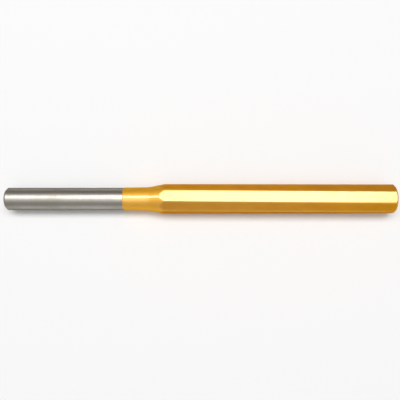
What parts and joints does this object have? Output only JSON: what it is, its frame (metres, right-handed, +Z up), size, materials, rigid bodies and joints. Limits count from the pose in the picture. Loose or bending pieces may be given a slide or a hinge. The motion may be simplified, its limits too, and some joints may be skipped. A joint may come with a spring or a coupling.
{
  "type": "pin punch",
  "caption": "Parallel pin punch: octagonal lacquered steel shank, flared neck and bare ground round pin, for driving out pins.",
  "frame": {"origin": "on the bench surface under the middle of the punch's length, with the punch lying on one flat of its shank", "axes": "-X along the axis towards the working tip, +X towards the struck end, +Z up from the bench"},
  "size_m": [0.165, 0.0122, 0.0122],
  "materials": {
    "ground_steel": "satin",
    "gold_lacquer": "gloss"
  },
  "bodies": {
    "root": {"steel_punch": "ground_steel", "gold_lacquer": "gold_lacquer"}
  },
  "joints": []
}
